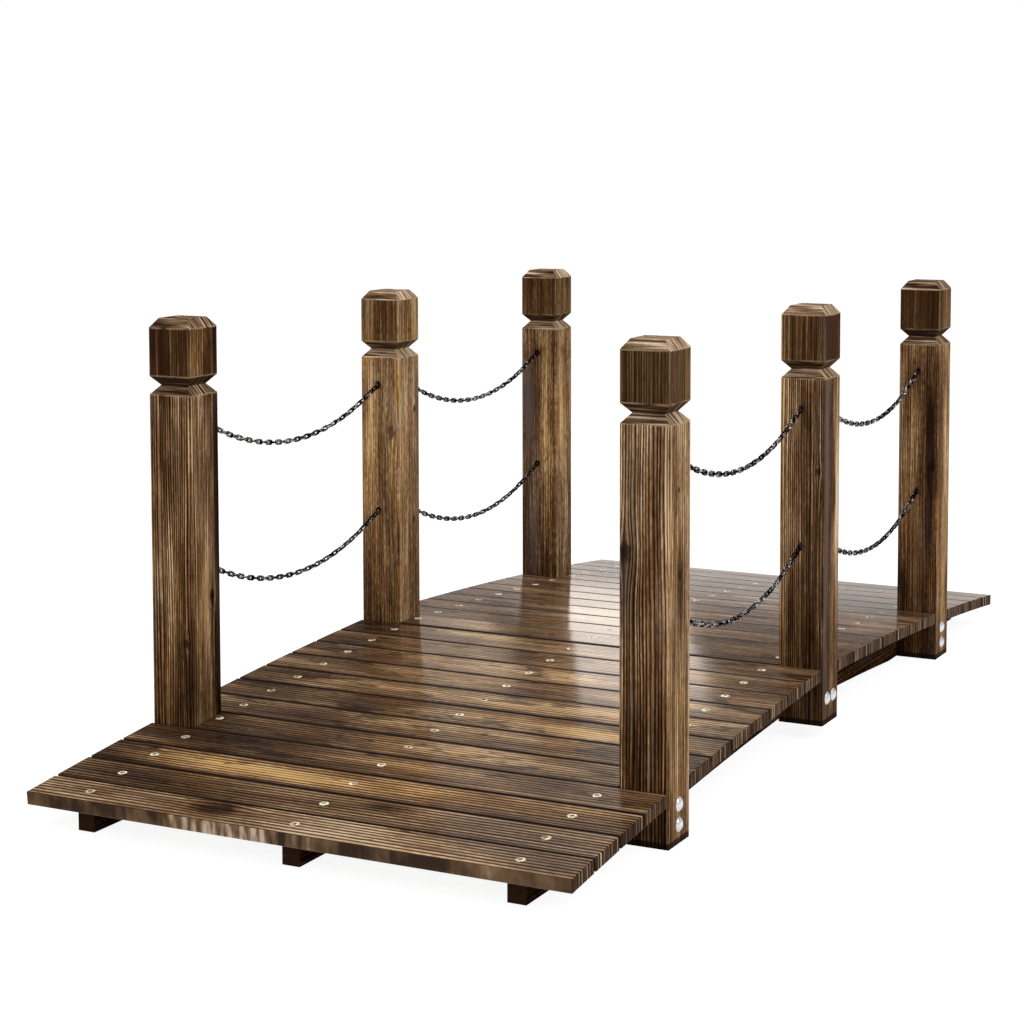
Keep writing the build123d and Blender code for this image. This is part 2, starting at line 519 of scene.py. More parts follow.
@dataclass(frozen=True)
class CharredWood:
    """Softwood that was charred, brushed along its grain and oiled."""

    name: str
    grain: Grain
    seed: float
    lightness: float = 0.5          # of the whole piece, from char to bare gold
    contrast: float = 1.0           # between its patches
    fineness: float = 1.0           # strength of its finest fibres
    fibre_width: float = 1.3
    ridge_pitch: float = 3.6        # from one brushed line to the next
    ridge_depth: float = 0.40
    ridge_tone: float = 0.10        # how much paler a crest is than its flanks
    ridge_length: float = 320.0     # after which a line fades into the next
    waver: float = 1.0              # how far the lines wander
    ridging: float = 1.0            # share of the surface that the brush took deeply
    groove_start: float = -0.10     # nearer to one, the brushed-out lines are narrower
    groove_dark: float = 0.90       # how dark the brushed-out lines are
    greyness: float = 0.30          # share of ashy streaks
    gold: float = 0.35              # share of golden streaks
    gloss: float = 0.5              # of the oil on the crests
    groove_matt: float = 1.0        # how far the brushed-out lines lack it
    roughness: float = 0.45
    specular: float = 0.04
    streaks: float = 1.0            # strength of long streaks a few millimetres wide
    dashes: float = 0.9             # strength of short broken strokes
    side_tone: float = 0.0          # how much paler a post's right and left faces are
    smoke: float = 0.0              # share of the surface under dark clouds of char
    cut_lightness: float = 0.0      # of sawn ends and chamfers, against the rest
    sawn: float = 0.0               # how bare a board's long edges are
    edges: tuple[float, ...] = ()   # depth of a post's level edges below its top
    shade: float = 0.0              # how much darker a post is towards the deck: painted shade from the deck, with deeper char there too
    foot: float = 0.0               # height of the dark band at a post's foot
    head: float = 0.0               # height of a post's darker head
    singed: tuple[float, float] = (0.6, 0.6)    # how dark that head is, front and sides
    knots: tuple[Knot, ...] = ()
    blotches: tuple[Blotch, ...] = ()

    CHAR: ClassVar[Colour] = paint(20, 10, 4)
    ASH: ClassVar[Colour] = paint(92, 79, 74)
    SINGED: ClassVar[Colour] = paint(45, 24, 10)
    # Pale edge colour: wear, and a painted highlight along the arrises.
    WORN_AND_HIGHLIT: ClassVar[Colour] = paint(196, 168, 136)
    STOPS: ClassVar[Stops] = [
        (0.05, paint(34, 19, 9)),
        (0.30, paint(72, 47, 27)),
        (0.50, paint(108, 79, 52)),
        (0.70, paint(154, 122, 88)),
        (0.92, paint(212, 186, 154)),
    ]
    GOLD_STOPS: ClassVar[Stops] = [
        (0.05, paint(42, 23, 9)),
        (0.35, paint(98, 63, 27)),
        (0.60, paint(150, 108, 54)),
        (0.90, paint(213, 171, 108)),
    ]
    CUT_STOPS: ClassVar[Stops] = [
        (0.10, paint(46, 30, 19)),
        (0.45, paint(118, 92, 68)),
        (0.80, paint(206, 184, 158)),
    ]
    SAWN_STOPS: ClassVar[Stops] = [
        (0.15, paint(52, 37, 26)),
        (0.50, paint(108, 84, 60)),
        (0.85, paint(186, 165, 146)),
    ]
    LONG_BEND: ClassVar[float] = 9.0        # how far the lines wander, in millimetres
    SHORT_BEND: ClassVar[float] = 0.8
    DRIFT: ClassVar[float] = 3.6            # how far they drift apart, in ridge pitches
    GROOVE_RISE: ClassVar[float] = 0.80     # from a crest's flank to a full groove
    SPARED: ClassVar[float] = 0.16          # noise under which the brush took nothing
    SPARED_MORE: ClassVar[float] = 0.34     # added to it where there is no ridging
    DEPTH_RISE: ClassVar[float] = 0.28
    PATCH_TONE: ClassVar[float] = 0.9       # how far each kind of mark lightens and darkens
    CLOUD_TONE: ClassVar[float] = 0.45
    HAIR_TONE: ClassVar[float] = 0.9
    HEAD_STREAKS: ClassVar[float] = 1.1
    HEAD_GOLD: ClassVar[float] = 0.3
    SHADE_TOP: ClassVar[float] = 240.0      # heights above a post's foot
    SHADE_BOTTOM: ClassVar[float] = 100.0
    BORDER: ClassVar[float] = 2.0           # half the soft border under a head
    FOOT_BORDER: ClassVar[float] = 1.0
    FOOT_DARKENING: ClassVar[float] = 0.85       # how far each kind of place darkens to the char colour
    KNOT_CHAR: ClassVar[float] = 0.85
    CLOUD_CHAR: ClassVar[float] = 0.7
    RIM_CHAR: ClassVar[float] = 0.7
    RIM: ClassVar[tuple[float, float]] = (-1.7, -0.5)       # from a board's long edge
    CORNER: ClassVar[tuple[float, float]] = (-1.8, -0.6)    # from a post's corner
    CORNER_WEAR_AND_HIGHLIGHT: ClassVar[float] = 0.6
    EDGE: ClassVar[tuple[float, float]] = (1.4, 0.5)        # from a post's level edge
    WEAR_AND_HIGHLIGHT: ClassVar[float] = 0.32
    SAWN_DRY: ClassVar[float] = 0.85        # share of oil that a sawn edge lacks
    BAND_PITCH: ClassVar[float] = 1.7       # of the growth rings on a post's slopes
    BAND_TONE: ClassVar[float] = 1.9
    END_TONE: ClassVar[float] = 1.7
    WORN_MIDDLE: ClassVar[float] = 60.0     # of the bare stretch on a sawn edge, to the left
    WORN_REACH: ClassVar[float] = 95.0
    HEART_BACK: ClassVar[float] = 34.0      # the tree's heart, from the middle of a post
    HEART_RIGHT: ClassVar[float] = 22.0
    RING_PITCH: ClassVar[float] = 2.4
    COAT_ROUGHNESS: ClassVar[float] = 0.13
    COAT_IOR: ClassVar[float] = 1.45

    def material(self, centre: Vector, size: Vector) -> bpy.types.Material:
        """Builds the material for one piece.

        Args:
            centre: The piece's middle, in metres.
            size: The piece's length along each axis, in metres.

        Returns:
            The material.
        """
        material, nodes = new_material(self.name)
        at = Place(nodes, self.grain, self.seed, centre, size)
        brushed = self.brushed(at)
        crown: Value = 0.0
        if self.head:
            crown = (at.z - (at.half_height - self.head)).between(-self.BORDER, self.BORDER)
        colour = self.face_colour(at, brushed, crown)
        slope, cut = self.cut_colour(at, brushed)
        colour = nodes.mix(slope, colour, cut)
        dry = 1.0 - slope
        if self.grain is Grain.ACROSS_DECK:
            sawn = at.facing_x.between(*at.TURNED)
            rim = (abs(at.across) - at.half_width).between(*self.RIM)
            colour = nodes.mix(rim * self.RIM_CHAR, colour, self.CHAR)
            colour = nodes.mix(sawn, colour, self.sawn_colour(at))
            dry = dry * (1.0 - sawn * self.SAWN_DRY)
        colour = self.with_knots(at, colour)
        # Darkens a band at a post's foot.
        if self.foot:
            ground = at.z + at.half_height
            low = ground.between(self.foot + self.FOOT_BORDER, self.foot - self.FOOT_BORDER)
            colour = nodes.mix(low * self.FOOT_DARKENING, colour, self.CHAR)
        if self.head:
            colour = self.with_head(at, colour, slope, crown)

        relief = (brushed.wave * 0.5 + 0.5) * brushed.depth
        fibres = brushed.hair * (0.2 * self.fineness)
        height = relief * -self.ridge_depth + fibres + brushed.streak * 0.2
        uneven = brushed.groove * 0.25 + slope * 0.15 + (brushed.patch - 0.5) * 0.2
        nodes.surface(
            {
                "Base Color": colour,
                "Roughness": uneven + self.roughness,
                "Specular IOR Level": self.specular,
                "Coat Weight": (1.0 - brushed.groove * self.groove_matt) * dry * self.gloss,
                "Coat Roughness": self.COAT_ROUGHNESS,
                "Coat IOR": self.COAT_IOR,
                "Normal": nodes.bump(height),
            }
        )
        return material

    def brushed(self, at: Place) -> Brushed:
        """Lays the brushed lines and the fibres over a piece.

        Args:
            at: A point of the piece.

        Returns:
            The lines, fibres and patches there.
        """
        bends = (at.figure(LONG_BENDS) - 0.5) * self.LONG_BEND
        bends = bends + (at.figure(SHORT_BENDS) - 0.5) * self.SHORT_BEND
        line = at.across + bends * self.waver
        for knot in self.knots:
            line = line - knot.bend(at)
        drift = (at.figure(LINE_DRIFT, line) - 0.5) * (self.DRIFT * self.waver)
        wave = at.nodes.math("COSINE", (line / self.ridge_pitch + drift) * (2 * math.pi))
        least = self.SPARED + (1.0 - self.ridging) * self.SPARED_MORE
        ridges = Figure(self.ridge_length, RIDGE_SPREAD)
        depth = at.figure(ridges, line).between(least, least + self.DEPTH_RISE)
        groove = wave.between(self.groove_start, self.groove_start + self.GROOVE_RISE) * depth
        return Brushed(
            line=line,
            wave=wave,
            depth=depth,
            groove=groove,
            hair=at.figure(Figure(HAIR_LENGTH, self.fibre_width), line),
            streak=at.figure(STREAKS, line),
            patch=at.figure(PATCHES),
        )

    def face_colour(self, at: Place, brushed: Brushed, crown: Value) -> Signal:
        """Colours the faces along the grain.

        Args:
            at: A point of the piece.
            brushed: Its lines and fibres there.
            crown: 1 on a post's head.

        Returns:
            The colour.
        """
        nodes = at.nodes
        dash = at.figure(Figure(DASH_LENGTH, self.fibre_width * 1.2), brushed.line)
        head_streaks = crown * (1.0 - at.side) * (self.ridging * self.HEAD_STREAKS)
        value = (
            (brushed.patch - 0.5) * (self.PATCH_TONE * self.contrast)
            + (at.figure(CLOUDS) - 0.5) * (self.CLOUD_TONE * self.contrast)
            + (brushed.streak - 0.5) * (head_streaks + self.streaks)
            + (brushed.hair - 0.5) * (self.HAIR_TONE * self.fineness)
            + (dash - 0.5) * self.dashes
            - brushed.wave * self.ridge_tone
            + at.side * self.side_tone
            + self.lightness
        )
        # Painted shade from the deck, together with deeper char low on the post: the colour
        # darkens towards the deck.
        if self.shade:
            low = (at.z + at.half_height).between(self.SHADE_TOP, self.SHADE_BOTTOM)
            value = value - low * ((1.0 - at.side * 0.55) * self.shade)
        golden = at.figure(GOLD_PATCHES).between(0.50, 0.70) * self.gold
        soot = at.figure(SOOT_PATCHES).between(0.50, 0.70) * self.greyness
        for blotch in self.blotches:
            there = blotch.share(at, brushed.line)
            value = value + there * blotch.tone
            soot = soot + there * blotch.smoky
            if blotch.tone > 0 and not blotch.bare:
                golden = golden + there * min(1.0, blotch.GOLDEN * blotch.tone)
        golden = (golden + crown * self.HEAD_GOLD).math("MINIMUM", 1.0)
        colour = nodes.mix(
            golden, nodes.ramp(value, self.STOPS), nodes.ramp(value, self.GOLD_STOPS)
        )
        colour = nodes.mix(soot.math("MINIMUM", 1.0), colour, self.ASH)
        if self.smoke:
            start = 0.66 - self.smoke * 0.3
            burnt = at.figure(CHAR_CLOUDS).between(start, start + 0.07)
            colour = nodes.mix(burnt * self.CLOUD_CHAR, colour, self.CHAR)
        darkening = brushed.groove * self.groove_dark
        if self.grain is Grain.UPRIGHT:
            darkening = darkening * (1.0 - at.side * 0.8) * (1.0 - crown * 0.6)
        return nodes.mix(darkening, colour, self.CHAR)

    def cut_colour(self, at: Place, brushed: Brushed) -> tuple[Signal, Signal]:
        """Colours the ends, and the slopes and top of a post.

        Args:
            at: A point of the piece.
            brushed: Its lines and fibres there.

        Returns:
            The share of such a face, and its colour.
        """
        nodes = at.nodes
        if self.grain is Grain.UPRIGHT:
            slope = at.end_on.between(0.3, 0.4)
            shift = at.shift
            across_rings = at.x / self.BAND_PITCH + shift
            bands = nodes.noise(nodes.join(across_rings, at.y / 60 + shift, at.z / 40), 2.0)
            off_x, off_y = at.x - self.HEART_BACK, at.y + self.HEART_RIGHT
            ring = nodes.math("SQRT", off_x * off_x + off_y * off_y)
            rings = nodes.noise(nodes.join(ring / self.RING_PITCH, shift, 0.0), 2.0)
            bands = bands + (rings - bands) * at.end_on.between(0.93, 0.97)
            # Painted light and shade on a post's slopes: slopes facing right and left are made
            # lighter, and slopes facing down are made darker.
            _, _, upward = nodes.split(nodes.add("ShaderNodeTexCoord", output="Normal"))
            underside = (upward * -1.0).between(0.2, 0.5)
            painted_slope_light_and_shade = at.facing_y.between(0.4, 0.7) * 0.08 - underside * 0.30
            tone = (bands - 0.5) * self.BAND_TONE + painted_slope_light_and_shade
        else:
            slope = at.end_on.between(0.5, 0.7)
            tone = (brushed.streak - 0.5) * self.END_TONE - brushed.groove * 0.35
        return slope, nodes.ramp(tone + (self.lightness + self.cut_lightness), self.CUT_STOPS)

    def sawn_colour(self, at: Place) -> Signal:
        """Colours the long edges of a board, which are worn bare left of the middle.

        Args:
            at: A point of the board.

        Returns:
            The colour.
        """
        nodes, shift = at.nodes, at.shift
        marks = nodes.noise(nodes.join(at.y / 7 + shift, at.z / 40 + shift, shift), 3.0)
        broad = nodes.noise(nodes.join(at.y / self.WORN_REACH + shift, 0.0, shift), 1.0)
        soft = nodes.noise(nodes.join(at.y / 26 + shift, at.z / 30 + shift, shift), 2.0)
        off = at.y - self.WORN_MIDDLE
        bare = ((off / self.WORN_REACH) * (off / -self.WORN_REACH)).math("EXPONENT")
        value = (
            (marks - 0.5) * (bare * 1.8 + 0.3)
            + (broad - 0.5) * 0.8
            + (soft - 0.5) * 0.8
            + bare * 0.42
            + (self.sawn - 0.16)
        )
        return nodes.ramp(value, self.SAWN_STOPS)

    def with_knots(self, at: Place, colour: Signal) -> Signal:
        """Darkens the knots and colours their hearts.

        Args:
            at: A point of the piece.
            colour: Its colour so far.

        Returns:
            Its colour with the knots.
        """
        if not self.knots:
            return colour
        knotted: Value = 0.0
        for knot in self.knots:
            knotted = knotted + knot.within(at, knot.CHAR_RING)
        colour = at.nodes.mix(knotted.math("MINIMUM", 1.0) * self.KNOT_CHAR, colour, self.CHAR)
        for knot in self.knots:
            if knot.heart:
                colour = at.nodes.mix(knot.within(at, knot.HEART_RING), colour, knot.heart)
        return colour

    def with_head(self, at: Place, colour: Signal, slope: Signal, crown: Signal) -> Signal:
        """Singes a post's head and paints its edges pale, as wear and as painted highlights on the
        arrises.

        Args:
            at: A point of the post.
            colour: Its colour so far.
            slope: The share of sloping face.
            crown: 1 on the head.

        Returns:
            Its colour with the head's.
        """
        front, sides = self.singed
        level = slope.between(0.9, 0.5) * (at.side * (sides - front) + front)
        colour = at.nodes.mix(crown * level, colour, self.SINGED)
        start, end = self.CORNER
        corner = abs(at.across).between(at.half_width + start, at.half_width + end)
        # Pale arrises: partly wear, partly painted highlights where the edges catch the light.
        worn = corner * crown * self.CORNER_WEAR_AND_HIGHLIGHT
        for edge in self.edges:
            off_edge = abs(at.z - (at.half_height - edge))
            worn = worn.math("MAXIMUM", off_edge.between(*self.EDGE))
        chipped = at.figure(CHIPS).between(0.34, 0.62)
        return at.nodes.mix(worn * chipped * self.WEAR_AND_HIGHLIGHT, colour, self.WORN_AND_HIGHLIT)


# --- Metal -----------------------------------------------------------------------------


@dataclass(frozen=True)
class Metal:
    """Plated or blackened steel with a fine, uneven finish; on the chains and the screws its pale
    specks are also painted highlights.
    """

    name: str
    bright: Colour
    dull: Colour
    metallic: float
    roughness: float
    specular: float = 0.5
    speck: float = 0.8              # size of the finish's mottling, in millimetres
    softness: float = 1.0           # of the border between bright and dull
    blackness: float = 0.0          # how much more of it is dull than bright
    painted_recess_shade: Colour | None = None     # painted shade on its steep faces, such as a recess
    unevenness: float = 0.02        # height of its texture, in millimetres

    CLOUD: ClassVar[float] = 9.0    # size of its broad marks, in millimetres

    def material(self) -> bpy.types.Material:
        """Builds the material."""
        material, nodes = new_material(self.name)
        x, y, z = nodes.place_from(Vector())
        place = nodes.join(x / self.speck, y / self.speck, z / self.speck)
        mottle = nodes.noise(place, 3.0)
        cloud = nodes.noise(nodes.join(x / self.CLOUD, y / self.CLOUD, z / self.CLOUD), 2.0)
        share = (mottle - 0.5) * 1.4 + (cloud - 0.5) * 1.2 + (0.5 + self.blackness)
        low, high = 0.5 - self.softness / 2, 0.5 + self.softness / 2
        colour = nodes.mix(share.between(low, high), self.bright, self.dull)
        # Painted shade: steep faces, such as a recess, turn to this dark colour.
        if self.painted_recess_shade:
            _, _, upward = nodes.facing()
            colour = nodes.mix(upward.between(0.85, 0.6), colour, self.painted_recess_shade)
        nodes.surface(
            {
                "Base Color": colour,
                "Metallic": self.metallic,
                "Roughness": (mottle - 0.5) * 0.3 + self.roughness,
                "Specular IOR Level": self.specular,
                "Normal": nodes.bump(mottle * self.unevenness),
            }
        )
        return material


# The chains' pale specks are worn bright steel and painted glints at once, standing in for the
# links' highlights.
BLACK_STEEL_AND_GLINTS = Metal(
    "black_steel", paint(196, 188, 190), paint(9, 6, 7), 1.0, 0.22, speck=2.6, softness=0.22,
    blackness=0.10,
)
BLACK_EYE_STEEL = Metal(
    "black_eye_steel", paint(70, 60, 64), paint(8, 4, 6), 0.0, 0.35, 0.04, speck=2.2, softness=0.3,
    blackness=0.20,
)
BRIGHT_ZINC = Metal(
    "bright_zinc", paint(250, 250, 252), paint(214, 215, 220), 0.5, 0.30, 0.5, speck=0.6
)
# The screws' near-white specks are painted highlights on golden plating, and their recess gets
# painted shade.
YELLOW_ZINC = Metal(
    "yellow_zinc", paint(255, 251, 222), paint(150, 118, 60), 0.0, 0.35, 0.8, speck=1.7,
    softness=0.35, painted_recess_shade=paint(46, 34, 16),
)


def dress(node: bpy.types.Object, material: bpy.types.Material) -> None:
    """Gives a piece of the frame its finish.

    Args:
        node: The piece.
        material: What it is made of.
    """
    if not node.material_slots:
        node.data.materials.append(None)
    for place in node.material_slots:
        place.material = material


def middle_and_size(name: str) -> tuple[Vector, Vector]:
    """The middle and the size of one node of the frame."""
    low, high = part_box(name)
    return (Vector(low) + Vector(high)) / 2, Vector(high) - Vector(low)


# --- Studio ----------------------------------------------------------------------------


@dataclass(frozen=True)
class Lamp:
    """A soft lamp with a rectangular face, turned to the middle of the bridge."""

    name: str
    place: tuple[float, float, float]
    size: tuple[float, float]       # width and height
    power: float                    # in watts
    tint: tuple[float, float, float] = (1.0, 1.0, 1.0)

    AIM: ClassVar[tuple[float, float, float]] = (0.0, 0.0, 0.2)

    def hang(self) -> None:
        """Hangs the lamp in its place."""
        data = bpy.data.lights.new(self.name, "AREA")
        data.shape = "RECTANGLE"
        data.size, data.size_y = self.size
        data.energy = self.power
        data.color = self.tint
        lamp = bpy.data.objects.new(self.name, data)
        lamp.visible_camera = False
        bpy.context.scene.collection.objects.link(lamp)
        away = Vector(self.place) - Vector(self.AIM)
        turn = away.to_track_quat("Z", "Y").to_matrix().to_4x4()
        lamp.matrix_world = Matrix.Translation(self.place) @ turn


@dataclass
class Studio:
    """Pale floor, white backdrop, soft lamps and the camera."""

    eye: tuple[float, float, float] = (-2.726, -1.2532, 0.7612)
    heading: float = 0.4789         # of the view, from the walk towards its left side
    tip: float = 0.0786             # of the view below level
    roll: float = -0.0032
    lens: float = 81.7
    shift: tuple[float, float] = (0.0317, -0.20)
    sensor: float = 36.0
    floor_size: float = 60.0
    floor_dull: Colour = (0.84, 0.84, 0.84, 1.0)
    floor_clean: Colour = (0.86, 0.86, 0.86, 1.0)
    floor_cloud: float = 400.0      # size of its marks, in millimetres
    floor_share: float = 0.75       # of its own white where it is seen
    floor_white: float = 0.85       # how strong that is in a reflection
    floor_seen: float = 0.35        # and how much stronger from straight ahead
    sky: float = 0.55               # strength of the room's plain light
    horizon: tuple[float, float] = (0.02, 0.14)     # where a reflection's ceiling begins
    ceiling_dim: float = 0.95
    lamps: tuple[Lamp, ...] = (
        Lamp("right_lamp", (-0.6, -3.2, 2.6), (2.2, 2.2), 75.0),
        Lamp("front_lamp", (-3.6, 1.2, 2.2), (1.6, 1.6), 42.0),
        Lamp("top_lamp", (0.8, 0.6, 3.2), (2.0, 2.0), 50.0),
        Lamp("back_lamp", (2.75, 1.20, 0.75), (0.42, 1.0), 3.3, (1.0, 0.91, 0.82)),
        Lamp("glow_lamp", (2.75, 1.70, 0.95), (0.28, 0.75), 0.48, (1.0, 0.88, 0.74)),
        Lamp("sheen_lamp", (2.4, 1.15, 1.68), (1.0, 0.85), 1.15, (1.0, 0.90, 0.80)),
    )

    def camera(self) -> None:
        """Stands the camera at a visitor's eye, before the near end and to its right."""
        data = bpy.data.cameras.new("view")
        data.lens = self.lens
        data.sensor_width = self.sensor
        data.shift_x, data.shift_y = self.shift
        camera = bpy.data.objects.new("view", data)
        bpy.context.scene.collection.objects.link(camera)
        turn = Matrix.Rotation(self.heading - math.pi / 2, 4, "Z")
        lean = Matrix.Rotation(math.pi / 2 - self.tip, 4, "X")
        camera.matrix_world = (
            Matrix.Translation(self.eye) @ turn @ lean @ Matrix.Rotation(self.roll, 4, "Z")
        )
        bpy.context.scene.camera = camera

    def floor(self) -> None:
        """Lays the floor, which reads white but keeps the bridge's shadow."""
        clear_selection()
        bpy.ops.mesh.primitive_plane_add(size=self.floor_size)
        floor = bpy.context.object
        floor.name = "floor"
        material, nodes = new_material("floor_white")
        ray = self.seen_ray(nodes)
        x, y, _ = nodes.place_from(Vector())
        cloud = nodes.noise(nodes.join(x / self.floor_cloud, y / self.floor_cloud, 0.0))
        white = nodes.ramp(cloud, [(0.3, self.floor_dull), (0.7, self.floor_clean)])
        matt = nodes.add("ShaderNodeBsdfDiffuse", None, {"Color": white})
        direct = nodes.add("ShaderNodeLightPath", output="Is Camera Ray")
        strength = direct * self.floor_seen + self.floor_white
        glow = nodes.add("ShaderNodeEmission", None, {"Color": WHITE, "Strength": strength})
        share = ray * self.floor_share
        mixed = nodes.add("ShaderNodeMixShader", None, {0: share, 1: matt, 2: glow})
        nodes.add("ShaderNodeOutputMaterial", None, {"Surface": mixed})
        floor.data.materials.append(material)

    @staticmethod
    def seen_ray(nodes: Nodes) -> Signal:
        """Tells looking from plain light.

        Args:
            nodes: The tree that asks.

        Returns:
            1 where the camera, a reflection or glass looks, and otherwise 0.
        """
        camera = nodes.add("ShaderNodeLightPath", output="Is Camera Ray")
        glossy = nodes.add("ShaderNodeLightPath", output="Is Glossy Ray")
        through = nodes.add("ShaderNodeLightPath", output="Is Transmission Ray")
        return (camera + glossy + through).math("MINIMUM", 1.0)

    def world(self) -> None:
        """A white room whose own light is soft and even."""
        world = bpy.data.worlds.new("room")
        bpy.context.scene.world = world
        world.use_nodes = True
        nodes = Nodes(world.node_tree)
        direct = nodes.add("ShaderNodeLightPath", output="Is Camera Ray")
        _, _, rise = nodes.split(nodes.add("ShaderNodeTexCoord", output="Generated"))
        seen = self.seen_ray(nodes)
        ceiling = rise.between(*self.horizon) * (1.0 - direct)
        strength = seen * (1.0 - ceiling * self.ceiling_dim) + (1.0 - seen) * self.sky
        back = nodes.add("ShaderNodeBackground", None, {"Color": WHITE, "Strength": strength})
        nodes.add("ShaderNodeOutputWorld", None, {"Surface": back})

    def build(self) -> None:
        """Sets the whole studio."""
        self.camera()
        self.floor()
        self.world()
        for lamp in self.lamps:
            lamp.hang()
        bpy.context.scene.view_settings.view_transform = "Standard"


# --- Modelling helpers -----------------------------------------------------------------


def clear_selection() -> None:
    """Deselects every object, because the loaded frame comes in selected."""
    bpy.ops.object.select_all(action="DESELECT")


def settle(thing: bpy.types.Object) -> None:
    """Puts an object's place, turn and scale into its mesh.

    Args:
        thing: The object, which is then the only one selected.
    """
    clear_selection()
    thing.select_set(True)
    bpy.context.view_layer.objects.active = thing
    bpy.ops.object.transform_apply(location=True, rotation=True, scale=True)


# --- Chains ----------------------------------------------------------------------------


@dataclass
class Chains:
    """Black steel chains, two to a bay on each side, hung between screw eyes."""

    wire: float = 0.0028
    width: float = 0.0075
    room: float = 0.0070            # the width of the frame's plain chain
    link_length: float = 0.0158
    links: int = 38
    end_link_inset: float = 0.0029  # from a chain's end to the middle of its last link
    roll_spread: float = 9.0        # how far links hang from square, in degrees
    bay_middle: float = 0.244
    side: float = 0.299
    upper: float = 0.412
    lower: float = 0.2415
    length: float = 0.421
    route: tuple[tuple[float, float], ...] = (
        (-0.20365, -0.00225), (-0.157, -0.0216), (-0.104, -0.0367), (-0.052, -0.0457),
        (0.0, -0.0487), (0.052, -0.0457), (0.104, -0.0367), (0.157, -0.0216),
        (0.20365, -0.00225),
    )
    ring_segments: int = 12
    wire_segments: int = 6
    seed: int = 7

    def __post_init__(self) -> None:
        """Seeds the dice that roll the links."""
        self.dice = random.Random(self.seed)

    def link(self) -> bpy.types.Object:
        """Models one link along X: a ring of round wire, drawn out to an oval.

        Returns:
            The link.
        """
        clear_selection()
        bpy.ops.mesh.primitive_torus_add(
            major_segments=self.ring_segments,
            minor_segments=self.wire_segments,
            major_radius=(self.width - self.wire) / 2,
            minor_radius=self.wire / 2,
            rotation=(0, 0, math.pi / self.ring_segments),
        )
        link = bpy.context.object
        link.name = "chain_link"
        settle(link)
        stretch = (self.link_length - self.width) / 2
        bpy.ops.object.mode_set(mode="EDIT")
        for way in (-1, 1):
            bpy.ops.mesh.select_all(action="DESELECT")
            mesh = bmesh.from_edit_mesh(link.data)
            for vertex in mesh.verts:
                vertex.select = vertex.co.x * way > 0
            mesh.select_flush(True)
            bmesh.update_edit_mesh(link.data)
            bpy.ops.transform.translate(value=(way * stretch, 0, 0))
        bpy.ops.object.mode_set(mode="OBJECT")
        bpy.ops.object.shade_smooth()
        return link

    def centreline(self, start: Vector) -> list[Vector]:
        """Reads the smooth line in which a chain hangs.

        Args:
            start: The point half way between the chain's two eyes.

        Returns:
            Points along the line, from the front.
        """
        data = bpy.data.curves.new("hang", "CURVE")
        data.dimensions = "3D"
        spline = data.splines.new("NURBS")
        spline.points.add(len(self.route) - 1)
        for point, (x, z) in zip(spline.points, self.route):
            point.co = (start.x + x, start.y, start.z + z, 1.0)
        spline.order_u = 3
        spline.use_endpoint_u = True
        spline.resolution_u = 24
        curve = bpy.data.objects.new("hang", data)
        bpy.context.scene.collection.objects.link(curve)
        mesh = bpy.data.meshes.new_from_object(curve)
        points = [vertex.co.copy() for vertex in mesh.vertices]
        bpy.data.objects.remove(curve)
        bpy.data.curves.remove(data)
        bpy.data.meshes.remove(mesh)
        return points

    def places(self, points: list[Vector]) -> list[tuple[Vector, Vector]]:
        """Spaces the links evenly along a line.

        Args:
            points: The line.

        Returns:
            Each link's middle and the direction in which it lies.
        """
        runs = [(b - a).length for a, b in zip(points, points[1:])]
        total = sum(runs)
        step = (total - 2 * self.end_link_inset) / (self.links - 1)
        found = []
        for number in range(self.links):
            left = self.end_link_inset + number * step
            index = 0
            while index < len(runs) - 1 and left > runs[index]:
                left -= runs[index]
                index += 1
            ahead = (points[index + 1] - points[index]).normalized()
            found.append((points[index] + ahead * left, ahead))
        return found

    def chain(
        self, link: bpy.types.Object, start: Vector, name: str
    ) -> tuple[bpy.types.Object, list[Vector]]:
        """Hangs one chain.

        Args:
            link: The link that all are copied from.
            start: The point half way between its two eyes.
            name: The chain's name.

        Returns:
            The chain as one piece, and the line that it follows.
        """
        points = self.centreline(start)
        copies = []
        for number, (middle, ahead) in enumerate(self.places(points)):
            square = 90.0 * (number % 2) + 90.0
            roll = math.radians(square + self.dice.uniform(-self.roll_spread, self.roll_spread))
            turn = ahead.to_track_quat("X", "Z").to_matrix().to_4x4()
            rolled = Matrix.Rotation(roll + math.pi / 2, 4, "X")
            copy = bpy.data.objects.new(name, link.data.copy())
            copy.data.transform(Matrix.Translation(middle) @ turn @ rolled)
            bpy.context.scene.collection.objects.link(copy)
            copies.append(copy)
        clear_selection()
        for copy in copies:
            copy.select_set(True)
        bpy.context.view_layer.objects.active = copies[0]
        bpy.ops.object.join()
        return copies[0], points

    def build(self) -> None:
        """Hangs all eight chains."""
        steel = BLACK_STEEL_AND_GLINTS.material()
        link = self.link()
        for end_name, end in (("front", -1), ("back", 1)):
            for side_name, side in (("left", 1), ("right", -1)):
                for level, height in (("upper", self.upper), ("lower", self.lower)):
                    start = Vector((end * self.bay_middle, side * self.side, height))
                    name = f"links_{level}_{end_name}_{side_name}"
                    chain, points = self.chain(link, start, name)
                    chain.name = name
                    chain.data.materials.clear()
                    chain.data.materials.append(steel)
                    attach(chain, BODY)
                    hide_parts(f"chain_{level}_{end_name}_{side_name}")
                    log.info("%s: %d faces", name, len(chain.data.polygons))
        bpy.data.objects.remove(link)


# --- Deck ------------------------------------------------------------------------------


@dataclass(frozen=True)
class Brushing:
    """How a run of boards was brushed, in CharredWood's terms."""

    last: int                       # the run's last board, counted from the front
    ridge_depth: float
    ridge_tone: float
    groove_dark: float
    groove_matt: float
    ridging: float
    smoke: float


